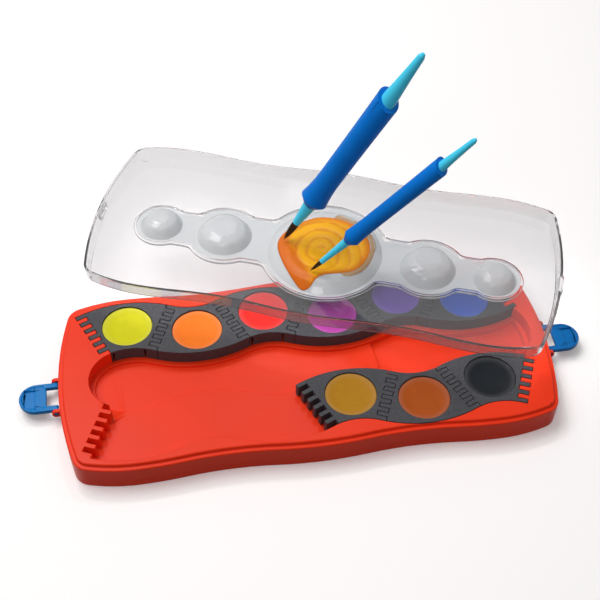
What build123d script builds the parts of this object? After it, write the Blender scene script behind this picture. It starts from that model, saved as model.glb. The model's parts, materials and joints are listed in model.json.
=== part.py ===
"""Watercolour paint set: an open tray with nine clip-together colour pans, a
clear lid lying above it as a mixing palette, two hinged end latches and two
brushes that stand in the mixed paint.

Millimetres. The origin is the centre of the tray's foot, +Z is up and +X runs
along the tray to the right.
"""

import os
from math import cos, pi, radians, sin, sqrt

from build123d import *

os.makedirs("parts", exist_ok=True)

# Tray: outline seen from above
half_length = 131.0        # middle of the tray to the middle of a bowed end
corner_x = 123.6           # where an end and a long side would meet
corner_y = 50.8
crest_y = 56.0             # the long sides swell to this in the middle
crest_pitch = 93.4         # and swell again this far along
wave_depth = 2.4           # how far they draw in between two swells
corner_radius = 9.0

# Tray: heights and walls
tray_height = 16.0
tray_wall = 1.8
ledge_width = 2.3          # seat for the lid's rim, round the deck
ledge_drop = 1.8
rib_thickness = 1.4        # stiffening ribs underneath
rib_pitch = 74.4
foot_radius = 5.0          # boss that meets the table in the middle
edge_bevel = 0.5           # broken edge round the deck and the ledge
shelf_depth = 8.0          # the pans stand this far below the deck
channel_depth = 9.6        # brush channel between the two rows
compartment_depth = 11.4   # deeper box at the channel's right end
channel_margin = 2.6       # shelf left showing in front of the pans
channel_end_left = 115.0   # rounded end of the channel, from the middle
channel_end_right = 123.0
compartment_x = 37.5       # step down into the compartment
compartment_bulge = 4.0

# Colour pans: each is a slice of a ring, turned end for end along the row
pan_pitch = 37.2
pan_half_width = 16.1
seam_angle = 23.7          # how far a seam leans
row_y = 31.15              # middle line of a row of pans
pans_in_row = 6
finger_count = 6           # fingers on each side of a pan
finger_length = 5.4
finger_gap = 0.3           # play between two pans' fingers
pan_height = 8.0
pan_wall = 1.3
cup_radius = 13.6
cup_depth = 5.4
boss_sides = 12            # the outside of the cup, seen from below
paint_radius = 13.5
paint_edge_drop = 0.9      # paint's edge below the top of its pan
paint_dish = 0.9           # the middle of the paint is lower still
paint_flat_radius = 9.5    # and level as far as this

# Latches, swung out
hinge_z = 6.0
hinge_stand_off = 2.0      # hinge line outside the end wall
latch_reach = 19.2         # hinge line to the tip
latch_width = 17.6
latch_thickness = 2.6
latch_arm = 3.0
latch_window = 5.0         # hinge line to the solid tab
latch_border = 1.4         # raised border of the tab
latch_dish = 0.5
trunnion_radius = 1.1
trunnion_play = 0.05
lug_thickness = 2.0
lug_radius = 2.3
side_play = 0.3

# Lid, rim up as a palette
lid_depth = 11.2
lid_wall = 1.5
lid_draft = 5.0
lid_edge_bevel = 2.0       # along the edge between panel and side
band_drop = 1.8            # the wavy band is pressed this far below the panel
nub_length = 10.4          # catch for the latch, on each end wall
nub_height = 4.8
nub_stand_out = 1.0
nub_below_rim = 5.6
nub_play = 0.4
lid_centre = (20.5, 63.2)
lid_clearance = 9.6        # deck to the lowest face of the lid
lid_turn = -21.1
inner_neck = 16.0          # half width of the band beside the large well
outer_neck = 11.6
band_fillet = 8.0

# Wells: base, shoulder and flat radius, rise, shoulder below the flat, band radius
large_well = (32.2, 27.8, 25.4, 5.2, 1.1, 35.0)
medium_well = (15.6, 12.2, 7.4, 7.4, 2.3, 20.2)
small_well = (12.0, 8.8, 4.8, 7.0, 2.1, 14.2)
medium_well_x = 58.2
small_well_x = 95.4

# Mixed paint, a film over the large well with one stroke down its side
paint_film = 0.5
swirl = [(25, -2), (21, 12), (9, 21), (-8, 21), (-21, 10), (-26.5, -3), (-20, -18), (-9, -30), (-3, -30), (3, -22), (18, -16)]

# Brushes, measured along their own line from the tip of the hair
hair_taper = 0.2           # width of the tip against the root
hair_stagger = 0.3         # share of the hair by which the outer strands are shorter
hair_root_share = 0.92     # width of the strands at their root against the glued root
plug_depth = 3.0           # glued root of the hair, inside the handle
tip_clearance = 0.5
taper_hollow = 0.15        # a handle's long tapers are drawn in this much between their ends
sleeve_slant = 30.0        # rear end of a sleeve, off square
collar_share = 0.06        # the sleeve's front collar and its waist, as shares of its length
waist_share = 0.22
small_brush = {
    "name": "small_brush", "tip": (-4.7, -22.0), "rise": 50.0, "turn": -7.7,
    "hair": 10.3, "cone": 34.5, "sleeve": 100.0, "length": 123.0, "strands": 100,
    "hair_radius": 1.2, "nose_radius": 1.5, "cone_radius": 2.7, "tail_radius": 1.5,
    "front_radius": 4.9, "waist_radius": 4.3, "rear_radius": 4.7,
}
large_brush = {
    "name": "large_brush", "tip": (-23.7, -2.3), "rise": 60.0, "turn": 0.9,
    "hair": 14.7, "cone": 34.0, "sleeve": 107.0, "length": 138.0, "strands": 210,
    "hair_radius": 2.0, "nose_radius": 2.2, "cone_radius": 4.4, "tail_radius": 2.0,
    "front_radius": 7.7, "waist_radius": 6.3, "rear_radius": 6.9,
}

# Worked out from the sizes above
deck_z = tray_height
ledge_z = tray_height - ledge_drop
shelf_z = tray_height - shelf_depth
channel_z = tray_height - channel_depth
compartment_z = tray_height - compartment_depth
lean = radians(seam_angle)
ring_radius = pan_pitch / 2 / sin(lean)
row_sway = ring_radius * (1 - cos(lean))
play = finger_gap / 2
finger_width = pan_half_width / finger_count
row_half = pans_in_row * pan_pitch / 2
latch_hinge_x = half_length + hinge_stand_off


def export(part, label):
    """Name a finished piece and write it to its own file."""
    part.label = label
    export_step(part, f"parts/{label}.step")


def plan_outline(inset=0.0):
    """Outline of tray and lid seen from above, drawn in by a set distance."""
    quarter_wave = crest_pitch / 4
    middle_y = crest_y - wave_depth / 2
    with BuildSketch() as plan:
        with BuildLine():
            ThreePointArc((-quarter_wave, middle_y), (0, crest_y), (quarter_wave, middle_y))
            ThreePointArc(
                (quarter_wave, middle_y),
                (2 * quarter_wave, crest_y - wave_depth),
                (3 * quarter_wave, middle_y),
            )
            TangentArc((crest_pitch, crest_y), (3 * quarter_wave, middle_y), tangent=(-1, 0))
            TangentArc((crest_pitch, crest_y), (corner_x, corner_y), tangent=(1, 0))
            ThreePointArc(
                (-quarter_wave, middle_y),
                (-2 * quarter_wave, crest_y - wave_depth),
                (-3 * quarter_wave, middle_y),
            )
            TangentArc((-crest_pitch, crest_y), (-3 * quarter_wave, middle_y), tangent=(1, 0))
            TangentArc((-crest_pitch, crest_y), (-corner_x, corner_y), tangent=(-1, 0))
            mirror(about=Plane.XZ)
            ThreePointArc((corner_x, corner_y), (half_length, 0), (corner_x, -corner_y))
            ThreePointArc((-corner_x, corner_y), (-half_length, 0), (-corner_x, -corner_y))
        make_face()
        corners = [v for v in plan.vertices() if abs(abs(v.X) - corner_x) < 0.01]
        fillet(corners, radius=corner_radius)
        if inset:
            offset(amount=-inset, kind=Kind.INTERSECTION, mode=Mode.REPLACE)
    return plan.sketch


def comb(grow, arch, outer_finger):
    """Points of one fingered seam, from its inner end to its outer end.

    Each point is (along the seam, outwards across the seam). Fingers and gaps
    take turns, and outer_finger says which of them comes last. Grow is positive
    for the recess round the fingers and negative for the fingers themselves.
    Arch is +1 where the outer side of the pan bulges and -1 where it is hollow.
    """
    points = []
    for index in range(2 * finger_count):
        low = -pan_half_width + index * finger_width
        is_finger = (index % 2 == 1) == outer_finger
        reach = finger_length / 2 if is_finger else -finger_length / 2
        slack = grow if is_finger else -grow
        points += [(low - slack, reach + grow), (low + finger_width + slack, reach + grow)]

    # A finger leaves the curved edge square, and a gap is cut off by that edge
    for end, side in ((0, -1), (len(points), 1)):
        edge = side * (pan_half_width + grow)
        last = min(end, len(points) - 1)
        across = points[last][1]
        if across > 0:
            points.insert(end, (edge, 0))
        else:
            points[last] = (arch * (sqrt((ring_radius + arch * edge)**2 - across**2) - ring_radius), across)
    return points


def on_seam(point, seam_middle, along, outwards):
    """Turn a comb point into a place on the plan."""
    return (
        seam_middle[0] + point[0] * along[0] + point[1] * outwards[0],
        seam_middle[1] + point[0] * along[1] + point[1] * outwards[1],
    )


def pan_outline(grow):
    """Plan of one pan about its own middle, wide side towards +Y.

    The wide end has a finger on the left and a gap on the right, so a pan
    turned end for end locks into the next one on either side.
    """
    middle = (pan_pitch / 2, -row_sway)
    along = (sin(lean), cos(lean))
    outwards = (cos(lean), -sin(lean))
    right = [on_seam(p, middle, along, outwards) for p in comb(grow, 1, False)]
    left = [on_seam(p, middle, along, outwards) for p in comb(grow, 1, True)]
    left = [(-x, y) for x, y in left]
    with BuildSketch() as plan:
        with BuildLine():
            ThreePointArc(left[0], (0, -pan_half_width - grow), right[0])
            Polyline(*right)
            ThreePointArc(right[-1], (0, pan_half_width + grow), left[-1])
            Polyline(*left)
        make_face()
    return plan.sketch


def row_edge(shift, first=None, last=None):
    """One long edge of the back row of pans, from left to right.

    Shift is measured outwards from the row's middle line. First and last
    replace the two end points.
    """
    edges = []
    for slot in range(pans_in_row):
        left_x = slot * pan_pitch - row_half
        swing = 1 if slot % 2 == 0 else -1
        start = (left_x - swing * shift * sin(lean), row_y + shift * cos(lean))
        end = (left_x + pan_pitch + swing * shift * sin(lean), row_y + shift * cos(lean))
        middle = (left_x + pan_pitch / 2, row_y + swing * row_sway + shift)
        if slot == 0 and first:
            start = first
        if slot == pans_in_row - 1 and last:
            end = last
        edges.append((start, middle, end))
    return edges


def flip(point):
    """The same place on the front half of the tray."""
    return (point[0], -point[1])


def basin_outline():
    """Plan of the tray's sunk area: both rows of pans and the channel."""
    along = (-sin(lean), cos(lean))

    def end_comb(end, outer_finger):
        outwards = (end * cos(lean), end * sin(lean))
        points = comb(play, -end, outer_finger)
        return [on_seam(p, (end * row_half, row_y), along, outwards) for p in points]

    back_left, back_right = end_comb(-1, True), end_comb(1, False)
    front_left, front_right = end_comb(-1, False), end_comb(1, True)
    with BuildSketch() as plan:
        with BuildLine():
            for start, middle, end in row_edge(pan_half_width + play, back_left[-1], back_right[-1]):
                ThreePointArc(start, middle, end)
            for start, middle, end in row_edge(pan_half_width + play, front_left[-1], front_right[-1]):
                ThreePointArc(flip(start), flip(middle), flip(end))
            for side in (back_left, back_right):
                Polyline(*side)
            for side in (front_left, front_right):
                Polyline(*[flip(p) for p in side])
            ThreePointArc(back_left[0], (-channel_end_left, 0), flip(front_left[0]))
            ThreePointArc(back_right[0], (channel_end_right, 0), flip(front_right[0]))
        make_face()
    return plan.sketch


def channel_outline():
    """Plan of the brush channel's floor, between the two shelves."""
    shift = -(pan_half_width + channel_margin)
    back = row_edge(shift)
    left, right = back[0][0], back[-1][-1]
    with BuildSketch() as plan:
        with BuildLine():
            for start, middle, end in back:
                ThreePointArc(start, middle, end)
                ThreePointArc(flip(start), flip(middle), flip(end))
            ThreePointArc(left, (channel_margin - channel_end_left, 0), flip(left))
            ThreePointArc(right, (channel_end_right - channel_margin, 0), flip(right))
        make_face()
    return plan.sketch


def compartment_outline(grow=0.0):
    """Part of the channel's floor that lies right of the curved step."""
    reach = crest_y - row_y
    with BuildSketch() as plan:
        add(channel_outline())
        if grow:
            offset(amount=grow, mode=Mode.REPLACE)
        with BuildSketch(mode=Mode.INTERSECT):
            with BuildLine():
                top = (compartment_x - compartment_bulge - grow, reach)
                bottom = (compartment_x - grow, -reach)
                ThreePointArc(top, (compartment_x + compartment_bulge / 4 - grow, 0), bottom)
                Polyline(bottom, (half_length, -reach), (half_length, reach), top)
            make_face()
    return plan.sketch


def row_band(grow, overhang):
    """Plan of one plain row without its fingers, longer by an overhang at each end."""
    back = row_edge(pan_half_width + grow)
    inner = row_edge(-pan_half_width - grow)
    across = (overhang * cos(lean), overhang * sin(lean))
    with BuildSketch() as plan:
        with BuildLine():
            for start, middle, end in back + inner:
                ThreePointArc(start, middle, end)
            for side, top, foot in ((-1, back[0][0], inner[0][0]), (1, back[-1][-1], inner[-1][-1])):
                far_top = (top[0] + side * across[0], top[1] + side * across[1])
                far_foot = (foot[0] + side * across[0], foot[1] + side * across[1])
                Polyline(top, far_top, far_foot, foot)
        make_face()
    return plan.sketch


# Tray: one thin moulding, open underneath
with BuildPart() as tray:
    with BuildSketch():
        add(plan_outline())
    extrude(amount=ledge_z)
    with BuildSketch(Plane.XY.offset(ledge_z)):
        add(plan_outline(ledge_width))
    extrude(amount=ledge_drop)
    rims = tray.faces().filter_by(Plane.XY).sort_by(Axis.Z)
    chamfer(rims[-1].edges() + rims[-2].outer_wire().edges(), length=edge_bevel)
    with BuildSketch():
        add(plan_outline(tray_wall))
    extrude(amount=ledge_z - tray_wall, mode=Mode.SUBTRACT)
    with BuildSketch():
        add(plan_outline(ledge_width + tray_wall))
    extrude(amount=deck_z - tray_wall, mode=Mode.SUBTRACT)
    with BuildSketch():
        with BuildSketch():
            Rectangle(2 * half_length, rib_thickness)
            with GridLocations(rib_pitch, 0, 3, 1):
                Rectangle(rib_thickness, 2 * crest_y)
            Circle(foot_radius)
        with BuildSketch(mode=Mode.INTERSECT):
            add(plan_outline(tray_wall / 2))
    extrude(amount=ledge_z - tray_wall)
    tub_z = shelf_z - tray_wall
    with BuildSketch(Plane.XY.offset(tub_z)):
        add(channel_outline())
        offset(amount=channel_margin + tray_wall)
        add(row_band(play + tray_wall, finger_length / 2 + play + tray_wall))
        mirror(about=Plane.XZ)
    extrude(amount=shelf_depth)
    with BuildSketch(Plane.XY.offset(channel_z - tray_wall)):
        add(channel_outline())
        offset(amount=tray_wall)
    extrude(amount=shelf_depth)
    with BuildSketch(Plane.XY.offset(compartment_z - tray_wall)):
        add(compartment_outline(tray_wall))
    extrude(amount=shelf_depth)
    with BuildSketch(Plane.XY.offset(shelf_z)):
        add(basin_outline())
    extrude(amount=shelf_depth, mode=Mode.SUBTRACT)
    with BuildSketch(Plane.XY.offset(channel_z)):
        add(channel_outline())
    extrude(amount=shelf_depth, mode=Mode.SUBTRACT)
    with BuildSketch(Plane.XY.offset(compartment_z)):
        add(compartment_outline())
    extrude(amount=shelf_depth, mode=Mode.SUBTRACT)

    for end in (-1, 1):
        for side in (-1, 1):
            lug_y = side * (latch_width / 2 + side_play + lug_thickness / 2)
            with BuildSketch(Plane.XZ.offset(-lug_y)):
                with Locations((end * latch_hinge_x, hinge_z)):
                    Circle(lug_radius)
                with Locations((end * (half_length + (hinge_stand_off - tray_wall) / 2), hinge_z)):
                    Rectangle(hinge_stand_off + tray_wall, 2 * lug_radius)
            extrude(amount=lug_thickness / 2, both=True)
            with BuildSketch(Plane.XZ.offset(-lug_y)):
                with Locations((end * latch_hinge_x, hinge_z)):
                    Circle(trunnion_radius + trunnion_play)
            extrude(amount=lug_thickness, both=True, mode=Mode.SUBTRACT)

print("tray", tray.part.volume, len(tray.faces()), tray.part.is_valid)
export(tray.part, "tray")


def make_pan(place):
    """One colour pan: a fingered slice of a ring with a cup, hollow underneath."""
    floor = pan_height - cup_depth
    with BuildPart() as pan:
        with BuildSketch(place):
            add(pan_outline(-play))
        extrude(amount=pan_height)
        with BuildSketch(place):
            add(pan_outline(-play))
            with BuildSketch(mode=Mode.INTERSECT):
                with BuildLine():
                    outer = (pan_half_width - pan_wall) * cos(lean) - row_sway
                    inner = -(pan_half_width - pan_wall) * cos(lean) - row_sway
                    reach = finger_length / 2 + pan_wall
                    top_x = pan_pitch / 2 + (pan_half_width - pan_wall) * sin(lean) - reach
                    foot_x = pan_pitch / 2 - (pan_half_width - pan_wall) * sin(lean) - reach
                    ThreePointArc((-top_x, outer), (0, pan_half_width - pan_wall), (top_x, outer))
                    Line((top_x, outer), (foot_x, inner))
                    ThreePointArc((-foot_x, inner), (0, pan_wall - pan_half_width), (foot_x, inner))
                    Line((-top_x, outer), (-foot_x, inner))
                make_face()
            RegularPolygon(cup_radius + pan_wall, boss_sides, major_radius=False, mode=Mode.SUBTRACT)
        extrude(amount=pan_height - pan_wall, mode=Mode.SUBTRACT)
        with BuildSketch(place.offset(floor)):
            Circle(cup_radius)
        extrude(amount=cup_depth, mode=Mode.SUBTRACT)
    return pan.part


def make_paint(place):
    """One tablet of paint, dished on top."""
    floor = pan_height - cup_depth
    edge = pan_height - paint_edge_drop
    with BuildPart() as paint:
        with BuildSketch(Plane(place.origin, x_dir=(1, 0, 0), z_dir=(0, -1, 0))):
            with BuildLine():
                Polyline(
                    (0, edge - paint_dish), (0, floor), (paint_radius, floor), (paint_radius, edge),
                    (paint_flat_radius, edge - paint_dish), close=True,
                )
            make_face()
        revolve(axis=Axis(place.origin, (0, 0, 1)))
    return paint.part


colours = {
    "yellow": (0, 1), "orange": (1, 1), "red": (2, 1), "magenta": (3, 1), "violet": (4, 1),
    "blue": (5, 1), "ochre": (3, -1), "brown": (4, -1), "black": (5, -1),
}
for colour, (slot, side) in colours.items():
    swing = 1 if slot % 2 == 0 else -1
    middle = ((slot + 0.5) * pan_pitch - row_half, side * (row_y + swing * row_sway), shelf_z)
    place = Plane(middle, x_dir=(side * swing, 0, 0), z_dir=(0, 0, 1))
    export(make_pan(place), f"pan_{colour}")
    export(make_paint(place), f"paint_{colour}")


def make_latch(end):
    """One latch: two arms on trunnions and a rounded tab, swung straight out."""
    place = Plane((end * latch_hinge_x, 0, hinge_z), x_dir=(end, 0, 0), z_dir=(0, 0, 1))
    half = latch_width / 2
    with BuildPart() as latch:
        with BuildSketch(place.offset(-latch_thickness / 2)):
            with Locations(((latch_reach - half) / 2, 0)):
                Rectangle(latch_reach - half, latch_width)
            with Locations((latch_reach - half, 0)):
                Circle(half)
            with Locations(((latch_window - latch_thickness) / 2, 0)):
                Rectangle(latch_window + latch_thickness, latch_width - 2 * latch_arm, mode=Mode.SUBTRACT)
        extrude(amount=latch_thickness)
        with BuildSketch(place.offset(latch_thickness / 2)):
            with Locations((latch_reach - half, 0)):
                Circle(half - latch_border)
            with Locations(((latch_window + latch_reach - half + latch_border) / 2, 0)):
                Rectangle(latch_reach - half - latch_window - latch_border, latch_width - 2 * latch_border)
        extrude(amount=-latch_dish, mode=Mode.SUBTRACT)
        with BuildSketch(place.offset(latch_thickness / 2)):
            with Locations((ledge_z + nub_below_rim - hinge_z, 0)):
                RectangleRounded(nub_height + 2 * nub_play, nub_length + 2 * nub_play, nub_play)
        extrude(amount=-latch_dish - nub_stand_out, mode=Mode.SUBTRACT)
        for side in (-1, 1):
            with BuildSketch(Plane.XZ.offset(-side * (half - latch_arm / 2))):
                with Locations((end * latch_hinge_x, hinge_z)):
                    Circle(latch_thickness / 2)
            extrude(amount=latch_arm / 2, both=True)
            with BuildSketch(Plane.XZ.offset(-side * (half + (side_play + lug_thickness) / 2))):
                with Locations((end * latch_hinge_x, hinge_z)):
                    Circle(trunnion_radius)
            extrude(amount=(side_play + lug_thickness) / 2, both=True)
    return latch.part


export(make_latch(-1), "latch_left")
export(make_latch(1), "latch_right")

rim_z = deck_z + lid_clearance + lid_depth
lid_place = Plane(
    (*lid_centre, rim_z), x_dir=(cos(radians(lid_turn)), sin(radians(lid_turn)), 0), z_dir=(0, 0, 1)
)
wells = [(0, large_well)]
for side in (-1, 1):
    wells += [(side * medium_well_x, medium_well), (side * small_well_x, small_well)]


def well_profile(well, x, grow):
    """Half section of a well, bigger outwards and upwards by a set distance."""
    base, shoulder, flat, rise, drop, _ = well
    origin = lid_place.from_local_coords((x, 0, lid_wall - lid_depth))
    place = Plane(origin, x_dir=lid_place.x_dir, z_dir=-lid_place.y_dir)
    with BuildSketch(place) as profile:
        with BuildLine():
            Polyline(
                (0, rise + grow), (0, -2 * lid_wall), (base + grow, -2 * lid_wall), (base + grow, 0),
                (shoulder + grow, rise - drop + grow), (flat + grow, rise + grow), close=True,
            )
        make_face()
    return profile.sketch, Axis(origin, (0, 0, 1))


def band_outline(grow=0.0):
    """Plan of the pressed band: a circle round each well, joined by necks."""
    with BuildSketch() as plan:
        for x, well in wells:
            with Locations((x, 0)):
                Circle(well[5])
        for side in (-1, 1):
            with Locations((side * medium_well_x / 2, 0)):
                Rectangle(medium_well_x, 2 * inner_neck)
            with Locations((side * (medium_well_x + small_well_x) / 2, 0)):
                Rectangle(small_well_x - medium_well_x, 2 * outer_neck)
        fillet(plan.vertices(), radius=band_fillet)
        if grow:
            offset(amount=grow, mode=Mode.REPLACE)
    return plan.sketch


# Lid: clear moulding, lying rim up with the wells standing in its panel
panel_depth = lid_depth - band_drop
with BuildPart() as lid:
    with BuildSketch(lid_place):
        add(plan_outline())
    extrude(amount=-panel_depth, taper=lid_draft)
    chamfer(lid.faces().sort_by(Axis.Z)[0].edges(), length=lid_edge_bevel)
    for side in (-1, 1):
        with BuildSketch(lid_place.offset(-nub_below_rim - nub_height / 2)):
            with Locations((side * (half_length + nub_stand_out - corner_radius / 2), 0)):
                Rectangle(corner_radius, nub_length)
        extrude(amount=nub_height)
    with BuildSketch(lid_place.offset(-lid_depth)):
        add(band_outline(lid_wall))
    extrude(amount=band_drop + lid_wall)
    with BuildSketch(lid_place):
        add(plan_outline(lid_wall))
    extrude(amount=lid_wall - panel_depth, taper=lid_draft, mode=Mode.SUBTRACT)
    with BuildSketch(lid_place.offset(lid_wall - lid_depth)):
        add(band_outline())
    extrude(amount=lid_depth, mode=Mode.SUBTRACT)
    for x, well in wells:
        profile, axis = well_profile(well, x, 0)
        revolve(profile, axis=axis)
    for x, well in wells:
        profile, axis = well_profile(well, x, -lid_wall)
        revolve(profile, axis=axis, mode=Mode.SUBTRACT)

print("lid", lid.part.volume, len(lid.faces()), lid.part.is_valid)
export(lid.part, "lid")

# Mixed paint: follows the top and the side of the large well
with BuildPart() as mixed_paint:
    profile, axis = well_profile(large_well, 0, paint_film)
    revolve(profile, axis=axis)
    profile, axis = well_profile(large_well, 0, 0)
    revolve(profile, axis=axis, mode=Mode.SUBTRACT)
    with BuildSketch(lid_place.offset(-lid_depth)):
        with BuildLine():
            Spline(*swirl, periodic=True)
        make_face()
    extrude(amount=lid_depth, mode=Mode.INTERSECT)

print("mixed paint", mixed_paint.part.volume, mixed_paint.part.is_valid)
export(mixed_paint.part, "mixed_paint")


def brush_plane(brush):
    """A plane at the tip of a brush, facing along the handle."""
    rise, turn = radians(brush["rise"]), radians(brush["turn"])
    x, y = brush["tip"]
    height = lid_wall - lid_depth + large_well[3] + paint_film + tip_clearance
    return Plane(
        lid_place.from_local_coords((x, y, height)),
        x_dir=(-sin(turn), cos(turn), 0),
        z_dir=(cos(rise) * cos(turn), cos(rise) * sin(turn), sin(rise)),
    )


def taper(start, end):
    """A long taper of a handle's profile, slightly hollow."""
    middle = ((start[0] + end[0]) / 2 - taper_hollow, (start[1] + end[1]) / 2)
    ThreePointArc(start, middle, end)


def make_handle(brush, place):
    """Core of the handle: a long nose, a waist hidden in the grip and a round tail."""
    nose, cone, tail = brush["nose_radius"], brush["cone_radius"], brush["tail_radius"]
    tail_height = brush["length"] - tail
    with BuildPart() as handle:
        with BuildSketch(Plane(place.origin, x_dir=place.x_dir, z_dir=-place.y_dir)):
            with BuildLine():
                Polyline((tail, tail_height), (tail / 2, brush["length"]), (0, brush["length"]),
                         (0, brush["hair"]), (nose, brush["hair"]))
                taper((nose, brush["hair"]), (cone, brush["cone"]))
                Line((cone, brush["cone"]), (cone, brush["sleeve"]))
                taper((cone, brush["sleeve"]), (tail, tail_height))
            make_face()
        revolve(axis=Axis(place.origin, place.z_dir))
        with BuildSketch(place.offset(brush["hair"])):
            Circle(brush["hair_radius"])
        extrude(amount=plug_depth, mode=Mode.SUBTRACT)
    return handle.part


def make_sleeve(brush, place):
    """Soft grip: flared at the front, waisted, and cut off on a slant behind."""
    front, waist, rear = brush["front_radius"], brush["waist_radius"], brush["rear_radius"]
    start, end = brush["cone"], brush["sleeve"]
    span = end - start
    with BuildPart() as sleeve:
        with BuildSketch(Plane(place.origin, x_dir=place.x_dir, z_dir=-place.y_dir)):
            with BuildLine():
                nose = start - collar_share * span
                slope = (brush["cone_radius"] - brush["nose_radius"]) / (start - brush["hair"])
                nose_core = brush["cone_radius"] - slope * (start - nose)
                waist_height = start + waist_share * span
                TangentArc((waist, waist_height), (front, start), tangent=(0, -1))
                TangentArc((waist, waist_height), (rear, end + rear), tangent=(0, 1))
                Polyline(
                    (rear, end + rear), (brush["cone_radius"], end + rear),
                    (brush["cone_radius"], start), (nose_core, nose), (front, start),
                )
            make_face()
        revolve(axis=Axis(place.origin, place.z_dir))
        slant = Plane(
            place.from_local_coords((0, 0, end)), x_dir=place.x_dir, z_dir=place.z_dir
        ).rotated((sleeve_slant, 0, 0))
        split(bisect_by=slant, keep=Keep.BOTTOM)
    return sleeve.part


def make_hair(brush):
    """Tuft of tapered strands, all drawn towards the tip, on its glued root.

    It is made upright, with its tip at the origin. The strands lie on one family
    of lines, so none crosses another.
    """
    length, count = brush["hair"], brush["strands"]
    strand = 0.42 * brush["hair_radius"] * sqrt(pi / count)
    golden = pi * (3 - sqrt(5))

    def section(share, angle, scale, height):
        x, y = share * brush["hair_radius"] * cos(angle), share * brush["hair_radius"] * sin(angle)
        ring = [
            (scale * (x + strand * cos(angle + turn)), scale * (y + strand * sin(angle + turn)), height)
            for turn in (0, 2 * pi / 3, 4 * pi / 3)
        ]
        return Wire.make_polygon(ring, close=True)

    hairs = []
    for index in range(count):
        share = sqrt((index + 0.5) / count) * (1 - strand / brush["hair_radius"])
        angle = index * golden
        ends = []
        for height in (length + plug_depth / 4, hair_stagger * length * share**2):
            scale = hair_root_share * (hair_taper + (1 - hair_taper) * height / length)
            ends.append(section(share, angle, scale, height))
        hairs.append(Solid.make_loft(ends, ruled=True))
    with BuildPart() as hair:
        with BuildSketch(Plane.XY.offset(length)):
            Circle(brush["hair_radius"])
        extrude(amount=plug_depth)
        add(hairs)
    return hair.part


for brush in (small_brush, large_brush):
    place = brush_plane(brush)
    handle = make_handle(brush, place)
    sleeve = make_sleeve(brush, place)
    hair = make_hair(brush).moved(place.location)
    print(brush["name"], handle.is_valid, sleeve.is_valid, hair.is_valid, len(hair.solids()))
    print("   line", place.z_dir, "tip", place.origin)
    export(handle, f"{brush['name']}_handle")
    export(sleeve, f"{brush['name']}_grip")
    export(hair, f"{brush['name']}_hair")
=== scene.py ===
# %% [markdown]
# # A watercolour paint set
# A red tray holds two rows of grey colour pans that clip into each other. Its
# clear lid lies above it, rim up, and serves as a mixing palette with five
# domed wells. Two brushes stand in the orange paint that was mixed on the
# middle well. Each cell below makes one piece or one finish, and says how.

# %% The frame
import json
from math import atan2, cos, hypot, pi, radians, sin, sqrt

import bmesh
import bpy
from mathutils import Matrix, Vector


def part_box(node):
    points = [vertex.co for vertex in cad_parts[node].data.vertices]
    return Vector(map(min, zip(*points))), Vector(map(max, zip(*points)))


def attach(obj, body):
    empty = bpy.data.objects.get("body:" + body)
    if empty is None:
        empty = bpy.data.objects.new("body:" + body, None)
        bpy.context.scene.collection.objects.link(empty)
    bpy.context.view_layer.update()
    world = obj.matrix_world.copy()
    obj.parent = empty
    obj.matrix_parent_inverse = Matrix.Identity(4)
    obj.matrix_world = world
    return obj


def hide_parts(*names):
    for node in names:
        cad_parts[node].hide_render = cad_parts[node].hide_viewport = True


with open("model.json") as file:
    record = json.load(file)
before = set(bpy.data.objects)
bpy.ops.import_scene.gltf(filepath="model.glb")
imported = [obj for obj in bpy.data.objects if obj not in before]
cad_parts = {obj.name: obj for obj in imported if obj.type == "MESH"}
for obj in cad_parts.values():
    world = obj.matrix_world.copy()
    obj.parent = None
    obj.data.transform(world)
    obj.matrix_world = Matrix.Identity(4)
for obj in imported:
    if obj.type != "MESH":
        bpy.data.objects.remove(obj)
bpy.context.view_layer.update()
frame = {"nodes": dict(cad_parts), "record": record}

nodes = frame["nodes"]
body_of = {node: body for body, members in frame["record"]["behaviour"]["bodies"].items() for node in members}
slot_of = {row["node"]: row["material_slot"] for row in frame["record"]["subparts"]}
mm = 0.001

# %% [markdown]
# ## The camera
# The photograph was taken from above, a little from the left, with a fairly
# long lens. The camera's place and angles were fitted to the tray's outline and
# the round paint tablets, which all lie at known heights. The lens follows from
# the focal length in pixels and the width of the sensor.

# %% Camera
photo_width = 600
focal_length_px = 1117.5
camera_place = Vector((-0.0684, -0.3594, 0.4846))
camera_pitch, camera_turn, camera_roll = radians(49.15), radians(10.1), radians(1.3)

camera_data = bpy.data.cameras.new("camera")
camera_data.sensor_width = 36
camera_data.lens = focal_length_px / photo_width * camera_data.sensor_width
camera = bpy.data.objects.new("camera", camera_data)
bpy.context.scene.collection.objects.link(camera)
view_line = Vector((
    cos(camera_pitch) * sin(camera_turn), cos(camera_pitch) * cos(camera_turn), -sin(camera_pitch),
))
upright = view_line.to_track_quat("-Z", "Y").to_matrix().to_4x4()
camera.matrix_world = Matrix.Translation(camera_place) @ upright @ Matrix.Rotation(camera_roll, 4, "Z")
bpy.context.scene.camera = camera
bpy.context.scene.view_settings.view_transform = "Standard"
print("lens", round(camera_data.lens, 1), "mm")

# %% [markdown]
# ## Light
# A large softbox hangs above and to the left, as the bright left sides and dark
# right sides of the brushes show. A smaller one near the camera fills the shade,
# and two tiny ones beyond the set give glints on domes and rims. The sky is
# plain, and only rays that look straight at it, or by a mirror or through the
# clear lid, find it white.

# %% Lights
def softbox(name, place, target, size, power):
    """A square area lamp that faces a target point."""
    data = bpy.data.lights.new(name, "AREA")
    data.shape = "RECTANGLE"
    data.size, data.size_y = size
    data.energy = power
    lamp = bpy.data.objects.new(name, data)
    bpy.context.scene.collection.objects.link(lamp)
    facing = (Vector(target) - Vector(place)).to_track_quat("-Z", "Y").to_matrix().to_4x4()
    lamp.matrix_world = Matrix.Translation(Vector(place)) @ facing
    return lamp


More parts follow.
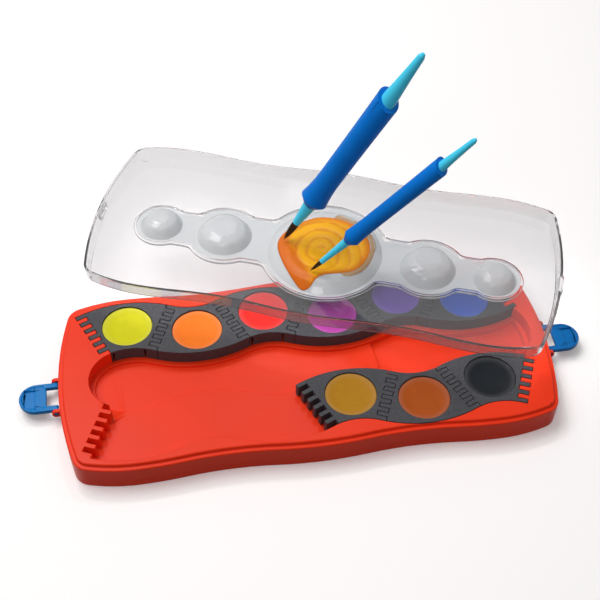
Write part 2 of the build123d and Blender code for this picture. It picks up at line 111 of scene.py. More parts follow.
middle_of_set = (0.0, 0.05, 0.02)
softbox("overhead_softbox", (-0.45, 0.35, 1.15), middle_of_set, (0.9, 0.7), 9)
softbox("front_softbox", (-0.35, -0.75, 0.95), middle_of_set, (0.35, 0.25), 1.2)
softbox("left_glint", (-0.25, 0.60, 1.0), middle_of_set, (0.055, 0.055), 1.2)
softbox("right_glint", (0.12, 0.66, 1.0), middle_of_set, (0.055, 0.055), 1.0)

# %% [markdown]
# ## Nodes as Python
# Materials and geometry trees are both networks of nodes. `Network.node` makes
# any node, and `Value` wraps what comes out of it, so that `1 - mask * 0.5` adds
# the two Math nodes by itself. Colours are mixed with a Mix node, because a Math
# node would turn them grey.

# %% Values and networks
class Value:
    """What a node gives out. Arithmetic on it adds Math nodes."""

    def __init__(self, network, socket):
        self.network, self.socket = network, socket

    def math(self, operation, *numbers):
        return self.network.node("ShaderNodeMath", {"operation": operation}, dict(enumerate(numbers)))

    def __add__(self, other):
        return self.math("ADD", self, other)

    def __sub__(self, other):
        return self.math("SUBTRACT", self, other)

    def __rsub__(self, other):
        return self.math("SUBTRACT", other, self)

    def __mul__(self, other):
        return self.math("MULTIPLY", self, other)

    def __truediv__(self, other):
        return self.math("DIVIDE", self, other)

    def __pow__(self, other):
        return self.math("POWER", self, other)

    __radd__, __rmul__ = __add__, __mul__

    def cap(self, most=1.0):
        return self.math("MINIMUM", self, most)

    def between(self, low, high):
        """0 below low, 1 above high, and a soft step between them."""
        return self.network.node(
            "ShaderNodeMapRange", {"interpolation_type": "SMOOTHSTEP"},
            {"Value": self, "From Min": low, "From Max": high},
        )


class Network:
    """A tree of nodes, for a finish or for a shape."""

    def __init__(self, tree):
        self.tree = tree

    def node(self, kind, settings=None, values=None, out=0):
        """Any node: its settings first, then a number or a link for each input."""
        made = self.tree.nodes.new(kind)
        for key, setting in (settings or {}).items():
            setattr(made, key, setting)
        for key, value in (values or {}).items():
            if isinstance(value, Value):
                self.tree.links.new(value.socket, made.inputs[key])
            else:
                made.inputs[key].default_value = value
        return Value(self, made.outputs[out])


class Finish(Network):
    """One material, ready for a Principled shader."""

    def __init__(self, name):
        self.material = bpy.data.materials.new(name)
        self.material.use_nodes = True
        super().__init__(self.material.node_tree)
        self.tree.nodes.clear()
        self.output = self.tree.nodes.new("ShaderNodeOutputMaterial")

    def place(self, centre=(0, 0, 0), turn=(0, 0, 0), scale=(1, 1, 1)):
        """Object coordinates, moved so that the centre is at nought."""
        coordinates = self.node("ShaderNodeTexCoord", out="Object")
        return self.node(
            "ShaderNodeMapping", {"vector_type": "TEXTURE"},
            {"Vector": coordinates, "Location": centre, "Rotation": turn, "Scale": scale},
        )

    def axes(self, place):
        """The three numbers of a place."""
        split = self.node("ShaderNodeSeparateXYZ", None, {0: place})
        return [Value(self, split.socket.node.outputs[axis]) for axis in "XYZ"]

    def attribute(self, name):
        """A number that was stored on the mesh's points."""
        return self.node("ShaderNodeAttribute", {"attribute_name": name}, out="Fac")

    def noise(self, place, size, detail=3.0, warp=0.0):
        """Cloudy noise; size is that of its blobs, in metres."""
        return self.node(
            "ShaderNodeTexNoise", None,
            {"Vector": place, "Scale": 1 / size, "Detail": detail, "Distortion": warp},
        )

    def blend(self, share, first, second):
        """Colour that goes from the first to the second."""
        mix = self.node("ShaderNodeMix", {"data_type": "RGBA"}, {0: share, 6: first, 7: second}, out=2)
        return mix

    def bump(self, height, depth, strength=1.0):
        return self.node(
            "ShaderNodeBump", None, {"Height": height, "Distance": depth, "Strength": strength}, out="Normal",
        )

    def shade(self, **sockets):
        """The Principled shader, with its inputs by name and an underscore for a space."""
        values = {key.replace("_", " "): value for key, value in sockets.items()}
        shader = self.node("ShaderNodeBsdfPrincipled", None, values)
        self.tree.links.new(shader.socket, self.output.inputs["Surface"])
        return shader


def colour(red, green, blue):
    """A screen colour from 0 to 255, made linear for the shader."""
    def linear(c):
        c /= 255
        return c / 12.92 if c <= 0.04045 else ((c + 0.055) / 1.055) ** 2.4

    return (linear(red), linear(green), linear(blue), 1)


def darker(shade, share):
    return (shade[0] * share, shade[1] * share, shade[2] * share, 1)


# %% [markdown]
# ## Floor and sky
# The floor is a plain sheet. It is grey to the light that bounces off it, so that
# it doesn't throw too much up against the dark side of the tray. To the rays that
# look at it, it is nearly white, with a faint glow that keeps it so where the
# lamps fade, and it keeps the object's soft shadow. Light Path tells the rays
# apart.

# %% Floor and sky
def background_seen(network):
    """1 for rays that look at the background straight, by a mirror or through the clear lid."""
    path = network.tree.nodes.new("ShaderNodeLightPath")
    rays = [Value(network, path.outputs[f"Is {kind} Ray"]) for kind in ("Camera", "Glossy", "Transmission")]
    return (rays[0] + rays[1] + rays[2]).cap()


floor_half = 3.0
floor_mesh = bpy.data.meshes.new("floor")
floor_corners = [(x * floor_half, y * floor_half, 0) for x, y in ((-1, -1), (1, -1), (1, 1), (-1, 1))]
floor_mesh.from_pydata(floor_corners, [], [(0, 1, 2, 3)])
floor = bpy.data.objects.new("floor", floor_mesh)
bpy.context.scene.collection.objects.link(floor)

floor_grey, floor_white = colour(96, 94, 92), colour(249, 246, 245)
floor_glow = 0.14
paper = Finish("floor_paper")
paper.shade(
    Base_Color=paper.blend(background_seen(paper), floor_grey, floor_white),
    Emission_Color=paper.blend(background_seen(paper), (0, 0, 0, 1), (1, 1, 1, 1)),
    Emission_Strength=floor_glow,
    Roughness=0.9,
    Specular_IOR_Level=0.1,
)
floor_mesh.materials.append(paper.material)

sky_light, sky_seen = 0.3, 1.0
sky = bpy.data.worlds.new("sky")
bpy.context.scene.world = sky
sky.use_nodes = True
air = Network(sky.node_tree)
air.tree.nodes.clear()
lighting = air.node("ShaderNodeBackground", None, {"Color": (1, 1, 1, 1), "Strength": sky_light})
looked_at = air.node("ShaderNodeBackground", None, {"Color": (1, 1, 1, 1), "Strength": sky_seen})
both = air.node("ShaderNodeMixShader", None, {0: background_seen(air), 1: lighting, 2: looked_at})
air.tree.links.new(both.socket, air.tree.nodes.new("ShaderNodeOutputWorld").inputs["Surface"])

# %% [markdown]
# ## Moulded plastics
# The tray, the pans and the latches are injection mouldings. Such a surface is
# even, but not perfect: the colour drifts by a percent or two, the gloss varies
# a little, and a fine grain breaks up reflections. The pans have a coarser,
# speckled grain.

# %% Plastics
dull_gloss = 0.12


def moulded(name, shade, roughness, grain=0.35 * mm, grain_depth=0.012 * mm, drift=0.94):
    """Even plastic with a fine grain and a slight drift in colour and gloss."""
    finish = Finish(name)
    place = finish.place()
    clouds = finish.noise(place, 35 * mm, detail=2)
    grain_height = finish.noise(place, grain, detail=2)
    finish.shade(
        Base_Color=finish.blend(clouds.between(0.3, 0.7), darker(shade, drift), shade),
        Roughness=roughness + clouds * 0.08 - 0.04,
        Normal=finish.bump(grain_height, grain_depth),
        Specular_IOR_Level=dull_gloss,
    )
    return finish.material


def speckled(name, shade, roughness):
    """Grey plastic with small dark flecks and a pebbled grain."""
    finish = Finish(name)
    place = finish.place()
    pebbles = finish.noise(place, 1.1 * mm, detail=4, warp=0.4)
    flecks = finish.noise(place, 0.7 * mm, detail=2).between(0.60, 0.72)
    patches = finish.noise(place, 12 * mm, detail=1).between(0.42, 0.62)
    marks = flecks * patches
    mottled = finish.blend(pebbles.between(0.35, 0.7), darker(shade, 0.82), darker(shade, 1.1))
    finish.shade(
        Base_Color=finish.blend(marks * 0.75, mottled, darker(shade, 0.3)),
        Roughness=roughness + pebbles * 0.12,
        Normal=finish.bump(pebbles - marks * 0.8, 0.06 * mm),
        Specular_IOR_Level=0.15,
    )
    return finish.material


tray_red = colour(240, 56, 23)
pan_grey = colour(72, 72, 76)
tray_plastic = moulded("tray_plastic", tray_red, 0.34)
pan_plastic = speckled("pan_plastic", pan_grey, 0.42)
# Both latches are one blue plastic: the right one gets a darker copy of it, which is painted shade.
lit_and_shaded_latch_plastics = {
    "latch_left": moulded("latch_plastic_left", colour(0, 122, 196), 0.3),
    "latch_right": moulded("latch_plastic_right", colour(0, 98, 165), 0.3),
}

# %% [markdown]
# ## Skins
# A CAD solid has knife-sharp edges, which no moulding has. A real edge is a tiny
# round that catches the light as a thin line, and most of what makes plastic
# look like plastic is that line. So each rigid piece gets a skin: a copy of the
# CAD mesh with its doubles merged, and a Bevel modifier that rounds every edge
# sharper than a set angle. A Weighted Normal modifier then keeps the broad faces
# flat, since a clear or glossy face shows even a slight lean.

# %% Skins
def add_piece(name, mesh, body, material, replaced=()):
    """A finished mesh as a piece that rides on a body."""
    piece = bpy.data.objects.new(name, mesh)
    bpy.context.scene.collection.objects.link(piece)
    mesh.materials.clear()
    mesh.materials.append(material)
    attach(piece, body)
    if replaced:
        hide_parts(*replaced)
    return piece


merge_distance = 0.002 * mm
broad_faces_win = 100     # the modifier's greatest weight


def skin(node, material, rounding, steps=2, sharp=30, left_sharp=None, clamped=False):
    """A CAD piece with its edges rounded off.

    Edges turned by more than the angle sharp, in degrees, are rounded, but for
    those within reach of a spot where they crowd: left_sharp is that (spot, reach).
    """
    mesh = nodes[node].data.copy()
    mesh.name = f"{node}_skin"
    shape = bmesh.new()
    shape.from_mesh(mesh)
    bmesh.ops.remove_doubles(shape, verts=shape.verts, dist=merge_distance)
    if left_sharp:
        spot, reach = left_sharp
        weight = shape.edges.layers.float.new("bevel_weight_edge")
        for edge in shape.edges:
            near = any((vertex.co - spot).length < reach for vertex in edge.verts)
            turned = len(edge.link_faces) == 2 and edge.calc_face_angle() > radians(sharp)
            edge[weight] = 1.0 if turned and not near else 0.0
    shape.to_mesh(mesh)
    shape.free()
    mesh.shade_smooth()
    mesh.set_sharp_from_angle(angle=radians(sharp))
    piece = add_piece(f"{node}_skin", mesh, body_of[node], material, [node])
    edges = piece.modifiers.new("rounded_edges", "BEVEL")
    edges.width = rounding
    edges.segments = steps
    edges.limit_method = "WEIGHT" if left_sharp else "ANGLE"
    edges.angle_limit = radians(sharp)
    edges.use_clamp_overlap = clamped
    edges.harden_normals = True
    flat = piece.modifiers.new("flat_faces", "WEIGHTED_NORMAL")
    flat.weight = broad_faces_win
    flat.keep_sharp = True


moulded_round, pan_round, lid_round = 0.3 * mm, 0.22 * mm, 0.25 * mm
comb_end, comb_reach = Vector((-104.0, -16.5, 8.0)) * mm, 6 * mm     # here the shelf's rim runs into the comb
skin("tray", tray_plastic, moulded_round, left_sharp=(comb_end, comb_reach))
for latch, plastic in lit_and_shaded_latch_plastics.items():
    skin(latch, plastic, moulded_round)
pans = [node for node in nodes if node.startswith("pan_")]
for pan in pans:
    skin(pan, pan_plastic, pan_round)
print("skins for the tray, the latches and", len(pans), "pans")

# %% [markdown]
# ## Paint tablets
# A tablet is pressed paint: a matt disc with a shallow dish that brushes have
# worn. It is a lathe form, so its half section is drawn once, from the size of
# the CAD tablet, and turned round the middle. A little unevenness, the same for
# any one place, keeps nine tablets from looking cloned.

# %% Tablets
def lathe(name, section, centre, uneven, steps=96):
    """A closed form of revolution.

    The section is a list of (radius, height) from top middle to bottom middle,
    and uneven(radius, angle) is what lifts a point above it.
    """
    shape = bmesh.new()
    rings = []
    for radius, height in section[1:-1]:
        ring = []
        for step in range(steps):
            angle = 2 * pi * step / steps
            lift = uneven(radius, angle)
            ring.append(shape.verts.new((
                centre[0] + radius * cos(angle), centre[1] + radius * sin(angle), centre[2] + height + lift,
            )))
        rings.append(ring)
    top = shape.verts.new((centre[0], centre[1], centre[2] + section[0][1]))
    foot = shape.verts.new((centre[0], centre[1], centre[2] + section[-1][1]))
    for step in range(steps):
        following = (step + 1) % steps
        shape.faces.new((top, rings[0][step], rings[0][following]))
        shape.faces.new((foot, rings[-1][following], rings[-1][step]))
        for upper, lower in zip(rings, rings[1:]):
            shape.faces.new((upper[step], lower[step], lower[following], upper[following]))
    mesh = bpy.data.meshes.new(name)
    shape.to_mesh(mesh)
    shape.free()
    mesh.shade_smooth()
    return mesh


def tablet_finish(name, shade):
    """Pressed paint: matt, fine grained, cloudy, and a little paler round the rim."""
    low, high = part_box(f"paint_{name}")
    middle = [(a + b) / 2 for a, b in zip(low, high)]
    radius = (high[0] - low[0]) / 2
    finish = Finish(f"paint_{name}")
    place = finish.place(centre=(middle[0], middle[1], 0))
    across, along, _ = finish.axes(place)
    out = ((across * across + along * along) ** 0.5) / radius
    clouds = finish.noise(place, 7 * mm, detail=3, warp=0.6)
    grain = finish.noise(place, 0.5 * mm, detail=3)
    worn = finish.blend(clouds.between(0.3, 0.7), darker(shade, 0.93), shade)
    paler = tuple(0.93 * c + 0.07 for c in shade[:3]) + (1,)
    rimmed = finish.blend(out.between(0.72, 0.98) * 0.5, worn, paler)
    finish.shade(
        Base_Color=rimmed,
        Roughness=0.5 + grain * 0.15,
        Normal=finish.bump(grain + clouds * 2, 0.05 * mm),
        Specular_IOR_Level=dull_gloss,
    )
    return finish.material


paint_shades = {
    "yellow": (208, 203, 18), "orange": (240, 118, 26), "red": (226, 40, 34), "magenta": (178, 64, 160),
    "violet": (112, 84, 176), "blue": (52, 92, 190), "ochre": (178, 124, 24), "brown": (170, 78, 20),
    "black": (20, 24, 29),
}
# The dish, as shares of the tablet's radius and of the dish's depth
dish = [(0.0, 1.0), (0.25, 0.985), (0.5, 0.92), (0.68, 0.74), (0.8, 0.45), (0.9, 0.16), (0.965, 0.03)]
dish_depth, tablet_round, wear_height = 0.9 * mm, 0.25 * mm, 0.08 * mm
for name, shade in paint_shades.items():
    node = f"paint_{name}"
    low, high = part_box(node)
    radius, thickness = (high[0] - low[0]) / 2, high[2] - low[2]
    section = [(r * radius, thickness - dish_depth * d) for r, d in dish]
    section += [
        (radius - 0.3 * tablet_round, thickness - 0.3 * tablet_round), (radius, thickness - tablet_round),
        (radius, tablet_round), (radius - tablet_round, 0.0), (0.0, 0.0),
    ]
    centre = ((low[0] + high[0]) / 2, (low[1] + high[1]) / 2, low[2])
    phase = 40 * centre[0] / 0.1 + 17 * centre[1] / 0.1     # differs from tablet to tablet

    def uneven(r, angle):
        worn = max(0.0, 1 - (r / radius) ** 2)
        return wear_height * worn * (sin(2 * angle + phase) + 0.6 * sin(3 * angle - phase + 300 * r))

    mesh = lathe(f"{node}_tablet", section, centre, uneven)
    finish = tablet_finish(name, colour(*shade))
    add_piece(f"{node}_tablet", mesh, body_of[node], finish, [node])
print("tablets", len(paint_shades))

# %% [markdown]
# ## The clear lid
# The lid is polystyrene: clear, hard and glossy. Its skin lets light through and
# bends it, so the thick corners go dark and the domes of the wells gather small
# highlights, as on the real one. A ray of light that only carries shadow would
# need thousands of samples to pass such a wall, so for those rays the wall is
# simply tinted air. The band round the wells looks milky in the photograph: the
# tray hardly shows through it, so a pale grey plastic is mixed in there.

# %% Lid
lid_centre = Vector((20.5, 63.2, 0)) * mm
lid_turn = radians(-21.1)
rim_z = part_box("lid")[1][2]
well_floor_z = rim_z - 9.7 * mm     # top of the pressed band, round the wells
lid_axes = Matrix.Translation((lid_centre.x, lid_centre.y, 0)) @ Matrix.Rotation(lid_turn, 4, "Z")
# Well's place along the lid, radius of the band round it, half width of the neck beside it
band_plan = [(0.0, 35.0 * mm, 0.0), (58.2 * mm, 20.2 * mm, 16.0 * mm), (95.4 * mm, 14.2 * mm, 11.6 * mm)]
band_edge = 0.3 * mm
milkiness = 0.78
milk_grey = colour(214, 216, 218)


def band_share(finish):
    """1 on the pressed band round the wells, 0 off it."""
    place = finish.place(centre=(lid_centre.x, lid_centre.y, 0), turn=(0, 0, lid_turn))
    x, y, _ = finish.axes(place)
    x, y = x.math("ABSOLUTE", x), y.math("ABSOLUTE", y)
    beyond = None
    for well_x, band_radius, neck in band_plan:
        beside = x - well_x
        ring = ((beside * beside + y * y) ** 0.5) - band_radius
        strip = y - neck
        joined = ring.math("MINIMUM", ring, strip.math("MAXIMUM", strip, beside))
        beyond = joined if beyond is None else beyond.math("MINIMUM", beyond, joined)
    return 1 - beyond.between(-band_edge, band_edge)


def clear(name, tint, shadow_tint, roughness=0.02):
    """Clear plastic, milky on the band, with tinted air for the rays that carry shadows."""
    finish = Finish(name)
    place = finish.place()
    ripple = finish.noise(place, 22 * mm, detail=1)
    glass = finish.shade(
        Base_Color=tint,
        Roughness=roughness,
        IOR=1.46,
        Transmission_Weight=0.985,
        Normal=finish.bump(ripple, 0.25 * mm, 0.5),
    )
    path = finish.tree.nodes.new("ShaderNodeLightPath")
    shadow = Value(finish, path.outputs["Is Shadow Ray"])
    air_like = finish.node("ShaderNodeBsdfTransparent", None, {"Color": shadow_tint})
    milk = finish.node("ShaderNodeBsdfPrincipled", None, {
        "Base Color": milk_grey, "Roughness": 0.1, "Specular IOR Level": 0.5,
    })
    clouded = finish.node("ShaderNodeMixShader", None, {0: band_share(finish) * milkiness, 1: glass, 2: milk})
    both = finish.node("ShaderNodeMixShader", None, {0: shadow, 1: clouded, 2: air_like})
    finish.tree.links.new(both.socket, finish.output.inputs["Surface"])
    return finish.material


lid_plastic = clear("lid_plastic", (0.70, 0.70, 0.71, 1), (0.90, 0.90, 0.90, 1))
skin("lid", lid_plastic, lid_round, sharp=33)

# %% [markdown]
# ## Mixed paint
# Wet paint lies on the large well in a swirl that a brush drew, with one stroke
# pulled off to the front. A round patch of points is laid over the well: each
# point has an angle and a share of the way to the blob's edge. Its height is the
# well's own plus the film, and the film is ridged along a spiral round the place
# where the brush turned. The ridge and the share are stored on the points, so
# that the colour can follow them, and the furrows get painted shade. A thin
# dried stain peeps out beside the swirl.

# %% Mixed paint
# All of these are in mm, with the origin at the middle of the large well
well_profile = [(0.0, 5.2), (25.4, 5.2), (27.8, 4.1), (32.2, 0.0)]
blob = [
    (25, -2), (22, 11), (9, 21), (-8, 21), (-21, 10), (-26.5, -3), (-20, -18), (-9, -30), (-3, -30), (3, -22),
    (19, -15),
]
stain = [
    (28.5, 6), (25.5, 14), (19, 21), (11, 24.5), (2, 25.5), (0, 10), (5, -8), (14, -20), (22, -16.5),
    (27, -8),
]
swirl_middle = (-2.0, -6.1)
ridge_pitch = 6.4
ridge_share = 0.2     # how much a ridge adds to the film's thickness
film, stain_film, lift_off = 0.9, 0.12, 0.02


def well_height(radius):
    """Height of the well's surface above the band, in mm, at a radius in mm."""
    for (r0, h0), (r1, h1) in zip(well_profile, well_profile[1:]):
        if radius <= r1:
            return h0 + (h1 - h0) * (radius - r0) / (r1 - r0)
    return well_profile[-1][1]


def smooth_loop(points, steps):
    """A closed curve through all the points."""
    curve = []
    count = len(points)
    for index in range(count):
        before, start, end, after = (points[(index + k) % count] for k in (-1, 0, 1, 2))
        for step in range(steps):
            t = step / steps
            curve.append(tuple(
                0.5 * (
                    2 * b + (c - a) * t + (2 * a - 5 * b + 4 * c - d) * t**2 + (3 * b - a - 3 * c + d) * t**3
                )
                for a, b, c, d in zip(before, start, end, after)
            ))
    return curve


def spiral_ridge(x, y):
    """-1 to 1: the furrows that the brush left."""
    across, along = x - swirl_middle[0], y - swirl_middle[1]
    distance, angle = hypot(across, along), atan2(along, across)
    wobble = 0.9 * sin(2 * angle + 1.0) + 0.6 * sin(3 * angle)
    return sin(2 * pi * (distance + wobble) / ridge_pitch + angle)


def film_mesh(name, outline, thickness, rings=44):
    """A closed film over the large well, out to an outline, in the lid's own axes."""
    shape = bmesh.new()
    share_layer = shape.verts.layers.float.new("share")
    ridge_layer = shape.verts.layers.float.new("ridge")
    sheets = []
    for sheet in ("top", "bottom"):
        grid = []
        for ring in range(rings + 1):
            share = sqrt(ring / rings)
            row = []
            for x, y in outline:
                start_x, start_y = swirl_middle
                px, py = start_x + (x - start_x) * share, start_y + (y - start_y) * share
                inside = 1 - share**6
                ridge = spiral_ridge(px, py)
                lift = 0.0
                if sheet == "top":
                    lift = thickness * inside**0.6 * (1 + ridge_share * ridge * inside)
                height = well_height(hypot(px, py)) + lift_off + lift
                vertex = shape.verts.new(lid_axes @ Vector((px * mm, py * mm, well_floor_z + height * mm)))
                vertex[share_layer], vertex[ridge_layer] = share, ridge
                row.append(vertex)
            grid.append(row)
        sheets.append(grid)
    count = len(outline)
    for grid, flipped in ((sheets[0], False), (sheets[1], True)):
        for ring in range(rings):
            for step in range(count):
                corners = [
                    grid[ring][step], grid[ring + 1][step],
                    grid[ring + 1][(step + 1) % count], grid[ring][(step + 1) % count],
                ]
                shape.faces.new(reversed(corners) if flipped else corners)
    bmesh.ops.remove_doubles(shape, verts=shape.verts, dist=0.004 * mm)
    bmesh.ops.dissolve_degenerate(shape, edges=shape.edges, dist=0.001 * mm)
    bmesh.ops.recalc_face_normals(shape, faces=shape.faces)
    mesh = bpy.data.meshes.new(name)
    shape.to_mesh(mesh)
    shape.free()
    mesh.shade_smooth()
    return mesh


def wet_paint_finish():
    """Orange paint: golden, with painted shade browning the furrows, redder at the edge and along the stroke.
    """
    finish = Finish("wet_paint")
    place = finish.place(centre=(lid_centre.x, lid_centre.y, 0), turn=(0, 0, lid_turn))
    x, y, _ = finish.axes(place)
    share, ridge = finish.attribute("share"), finish.attribute("ridge")
    clouds = finish.noise(place, 9 * mm, detail=3, warp=0.8)
    streaks = finish.noise(place, 2.2 * mm, detail=2, warp=1.5)
    # Painted shade: the furrows between the ridges are browned, mixed with a cloudy mottle of tone.
    furrows = (ridge * -1 + (clouds - 0.5) * 2.4).between(0.1, 1.1)
    golden = finish.blend(furrows * 0.6, colour(255, 182, 12), colour(226, 132, 12))
    edged = finish.blend(share.between(0.8, 0.99) * 0.8, golden, colour(226, 112, 22))
    stroke_x, stroke_y = -0.832, -0.555     # from the middle of the well towards the stroke
    across = x * stroke_x + y * stroke_y
    stroke = (across + (clouds - 0.5) * 6 * mm).between(14 * mm, 20 * mm)
    finish.shade(
        Base_Color=finish.blend(stroke * 0.9, edged, colour(222, 104, 12)),
        Roughness=0.28 + streaks * 0.15,
        Normal=finish.bump(streaks + clouds, 0.15 * mm),
        Specular_IOR_Level=0.22,
    )
    return finish.material


def stain_finish():
    """Thin dried paint: pale tan, and half see-through."""
    finish = Finish("paint_stain")
    place = finish.place(centre=(lid_centre.x, lid_centre.y, 0), turn=(0, 0, lid_turn))
    share = finish.attribute("share")
    clouds = finish.noise(place, 6 * mm, detail=3, warp=0.5)
    finish.shade(
        Base_Color=finish.blend(clouds.between(0.3, 0.7), colour(214, 176, 134), colour(202, 160, 120)),
        Roughness=0.4,
        Alpha=(0.75 + (clouds - 0.5) * 0.8) * (1 - share.between(0.93, 1.0)),
        Specular_IOR_Level=0.3,
    )
    return finish.material


paint_body, paint_slot = body_of["mixed_paint"], slot_of["mixed_paint"]
paint_mesh = film_mesh("mixed_paint_swirl", smooth_loop(blob, 16), film)
add_piece("mixed_paint_swirl", paint_mesh, paint_body, wet_paint_finish(), ["mixed_paint"])
stain_mesh = film_mesh("mixed_paint_stain", smooth_loop(stain, 12), stain_film, rings=16)
add_piece("mixed_paint_stain", stain_mesh, paint_body, stain_finish())
print("mixed paint", len(paint_mesh.vertices), "points")

# %% [markdown]
# ## Brushes
# Each brush is a light blue core with a soft, dark blue grip pushed over it. The
# grip is rubber: matt, with a broad sheen. Both are skins of their CAD pieces
# with generous roundings. The line of a brush is read from the slide that the
# frame gives it, and its middle from the handle's own extent across that line.

# %% Handles and grips
def brush_axes(brush):
    """The brush's own axes: origin at the tip of the hair, Z up the handle."""
    slide = next(joint for joint in frame["record"]["behaviour"]["joints"] if joint["child"] == brush)
    line = Vector(slide["axis"]).normalized()
    side = Vector((-line.y, line.x, 0)).normalized()
    back = line.cross(side)
    points = [vertex.co for vertex in nodes[f"{brush}_handle"].data.vertices]
    tip = min(vertex.co.dot(line) for vertex in nodes[f"{brush}_hair"].data.vertices)
    middle = [(min(p.dot(d) for p in points) + max(p.dot(d) for p in points)) / 2 for d in (side, back)]
    origin = side * middle[0] + back * middle[1] + line * tip
    turn = Matrix((side, back, line)).transposed().to_4x4()
    return Matrix.Translation(origin) @ turn


def rubber(name, shade):
    """Soft grip: matt, with a fine grain and a broad sheen."""
    finish = Finish(name)
    place = finish.place()
    clouds = finish.noise(place, 14 * mm, detail=2)
    grain = finish.noise(place, 0.25 * mm, detail=2)
    finish.shade(
        Base_Color=finish.blend(clouds.between(0.3, 0.7), darker(shade, 0.9), shade),
        Roughness=0.42 + clouds * 0.1,
        Normal=finish.bump(grain, 0.02 * mm),
        Specular_IOR_Level=dull_gloss,
    )
    return finish.material


grip_rubber = rubber("brush_grip", colour(0, 120, 218))
core_plastic = moulded("brush_core", colour(76, 220, 255), 0.25)
core_round, grip_round = 0.4 * mm, 0.6 * mm
brushes = {"small_brush": brush_axes("small_brush"), "large_brush": brush_axes("large_brush")}
for brush in brushes:
    skin(f"{brush}_handle", core_plastic, core_round, steps=3, sharp=25, clamped=True)
    skin(f"{brush}_grip", grip_rubber, grip_round, steps=3, sharp=25, clamped=True)
    print(brush, "tip in mm", [round(v / mm, 1) for v in brushes[brush].translation])

# %% [markdown]
# ## Hair
# The tuft of a round brush is hundreds of tapered hairs that the water draws to a
# point. Geometry Nodes make it: points on a sunflower spiral, a thin cone on each
# one, and then one move that pulls every hair in towards the tip, more the
# higher it is. The tree's sizes are its inputs, so both brushes share it.

# %% Hair tree
class Shape(Network):
    """A geometry tree with named sizes."""

    def __init__(self, name, sizes):
        super().__init__(bpy.data.node_groups.new(name, "GeometryNodeTree"))
        interface = self.tree.interface
        interface.new_socket(name="Geometry", in_out="OUTPUT", socket_type="NodeSocketGeometry")
        self.keys = {}
        for size, kind in sizes.items():
            socket = interface.new_socket(name=size, in_out="INPUT", socket_type=f"NodeSocket{kind}")
            self.keys[size] = socket.identifier
        self.source = self.tree.nodes.new("NodeGroupInput")
        self.sink = self.tree.nodes.new("NodeGroupOutput")

    def given(self, size):
        return Value(self, self.source.outputs[size])

    def finish_with(self, geometry):
        """Real geometry, with the piece's own material, as what the tree gives out."""
        real = self.node("GeometryNodeRealizeInstances", None, {0: geometry})
        coated = self.node("GeometryNodeSetMaterial", None, {
            "Geometry": real, "Material": self.given("Material"),
        })
        self.tree.links.new(coated.socket, self.sink.inputs[0])

    def mesh(self, name, sizes):
        """What the tree makes of these sizes, as a plain mesh."""
        holder = bpy.data.objects.new(name, bpy.data.meshes.new(f"{name}_seed"))
        bpy.context.scene.collection.objects.link(holder)
        grower = holder.modifiers.new("shape", "NODES")
        grower.node_group = self.tree
        for size, value in sizes.items():
            grower[self.keys[size]] = value
        bpy.context.view_layer.update()
        evaluated = holder.evaluated_get(bpy.context.evaluated_depsgraph_get())
        made = bpy.data.meshes.new_from_object(evaluated)
        made.name = name
        bpy.data.objects.remove(holder)
        return made


tuft = Shape("tuft_of_hair", {
    "Count": "Int", "Root Radius": "Float", "Length": "Float", "Hair Radius": "Float", "Material": "Material",
})
golden_angle = pi * (3 - sqrt(5))
outer_shortening = 0.22
tip_width = 0.1
belly_share = 0.16     # how far the tuft swells on the way to its tip
count, root_radius, length = tuft.given("Count"), tuft.given("Root Radius"), tuft.given("Length")
index = tuft.node("GeometryNodeInputIndex")
spread = ((index + 0.5) / count) ** 0.5
angle = index * golden_angle
spot = tuft.node("ShaderNodeCombineXYZ", None, {
    "X": spread * root_radius * angle.math("COSINE", angle),
    "Y": spread * root_radius * angle.math("SINE", angle),
})
roots = tuft.node("GeometryNodePoints", None, {"Count": count, "Position": spot})
hair = tuft.node("GeometryNodeMeshCone", {"fill_type": "NONE"}, {
    "Vertices": 5, "Side Segments": 9, "Radius Top": 0.008 * mm,
    "Radius Bottom": tuft.given("Hair Radius"), "Depth": length,
})
stretch = tuft.node("FunctionNodeRandomValue", {"data_type": "FLOAT"}, {2: 0.9, 3: 1.0, "Seed": 7}, out=1)
size = tuft.node("ShaderNodeCombineXYZ", None, {"X": 1.0, "Y": 1.0, "Z": stretch})
hairs = tuft.node("GeometryNodeInstanceOnPoints", None, {"Points": roots, "Instance": hair, "Scale": size})
real_hairs = tuft.node("GeometryNodeRealizeInstances", None, {0: hairs})
at = tuft.node("GeometryNodeInputPosition")
parts = tuft.node("ShaderNodeSeparateXYZ", None, {0: at})
x, y, z = (Value(tuft, parts.socket.node.outputs[axis]) for axis in "XYZ")
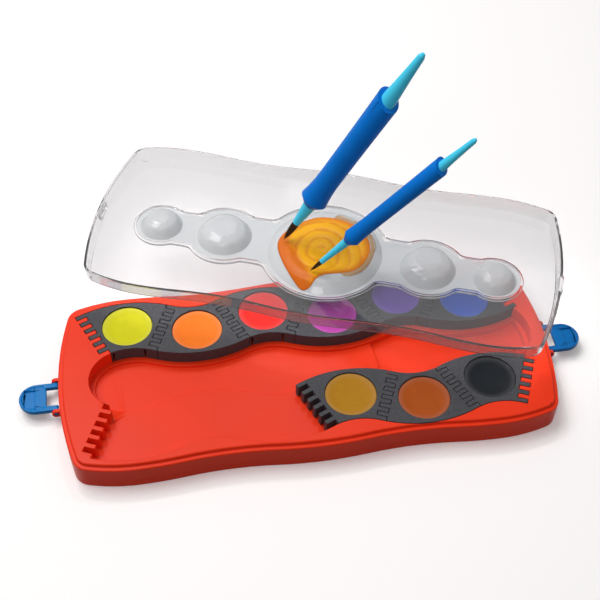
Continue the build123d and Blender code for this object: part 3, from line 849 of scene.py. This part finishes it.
out = (((x * x + y * y) ** 0.5) / root_radius).cap()
height = z * (1 - out * out * outer_shortening)
along = (height / length).cap()
belly = (along * pi).math("SINE", along * pi) * belly_share
width = (1 - along ** 1.5) * (1 - tip_width) + tip_width + belly
drawn = tuft.node("ShaderNodeCombineXYZ", None, {"X": x * width, "Y": y * width, "Z": height})
tuft.finish_with(tuft.node("GeometryNodeSetPosition", None, {"Geometry": real_hairs, "Position": drawn}))

# %% Tufts
def hair_finish(name, axes, hair_length):
    """Brown hair with lighter streaks that run along it, and wet orange at the tip."""
    finish = Finish(name)
    place = finish.place(centre=axes.translation, turn=axes.to_euler())
    _, _, from_tip = finish.axes(place)
    stretched = finish.place(centre=axes.translation, turn=axes.to_euler(), scale=(1, 1, 14))
    streaks = finish.noise(stretched, 0.5 * mm, detail=2)
    brown = finish.blend(streaks.between(0.45, 0.68), colour(52, 32, 16), colour(124, 86, 44))
    wet = 1 - (from_tip / hair_length).between(0.04, 0.2)
    finish.shade(
        Base_Color=finish.blend(wet * 0.7, brown, colour(170, 92, 20)),
        Roughness=0.38 + streaks * 0.2,
        Specular_IOR_Level=0.4,
    )
    return finish.material


# Length and radius in mm, and the number of hairs
tufts = {"small_brush": (10.3, 1.2, 420), "large_brush": (14.7, 2.0, 700)}
root_depth = 1.5 * mm
for brush, (hair_length, radius, hair_count) in tufts.items():
    axes = brushes[brush]
    node = f"{brush}_hair"
    material = hair_finish(f"{brush}_hair", axes, hair_length * mm)
    mesh = tuft.mesh(f"{node}_tuft", {
        "Count": hair_count, "Root Radius": radius * mm, "Length": hair_length * mm + root_depth,
        "Hair Radius": 0.5 * radius * mm * sqrt(pi / hair_count), "Material": material,
    })
    root = Matrix.Translation((0, 0, hair_length * mm + root_depth))
    mesh.transform(axes @ root @ Matrix.Rotation(pi, 4, "X"))
    mesh.shade_smooth()
    add_piece(f"{node}_tuft", mesh, body_of[node], material, [node])
    print(node, "triangles", sum(len(face.vertices) - 2 for face in mesh.polygons))
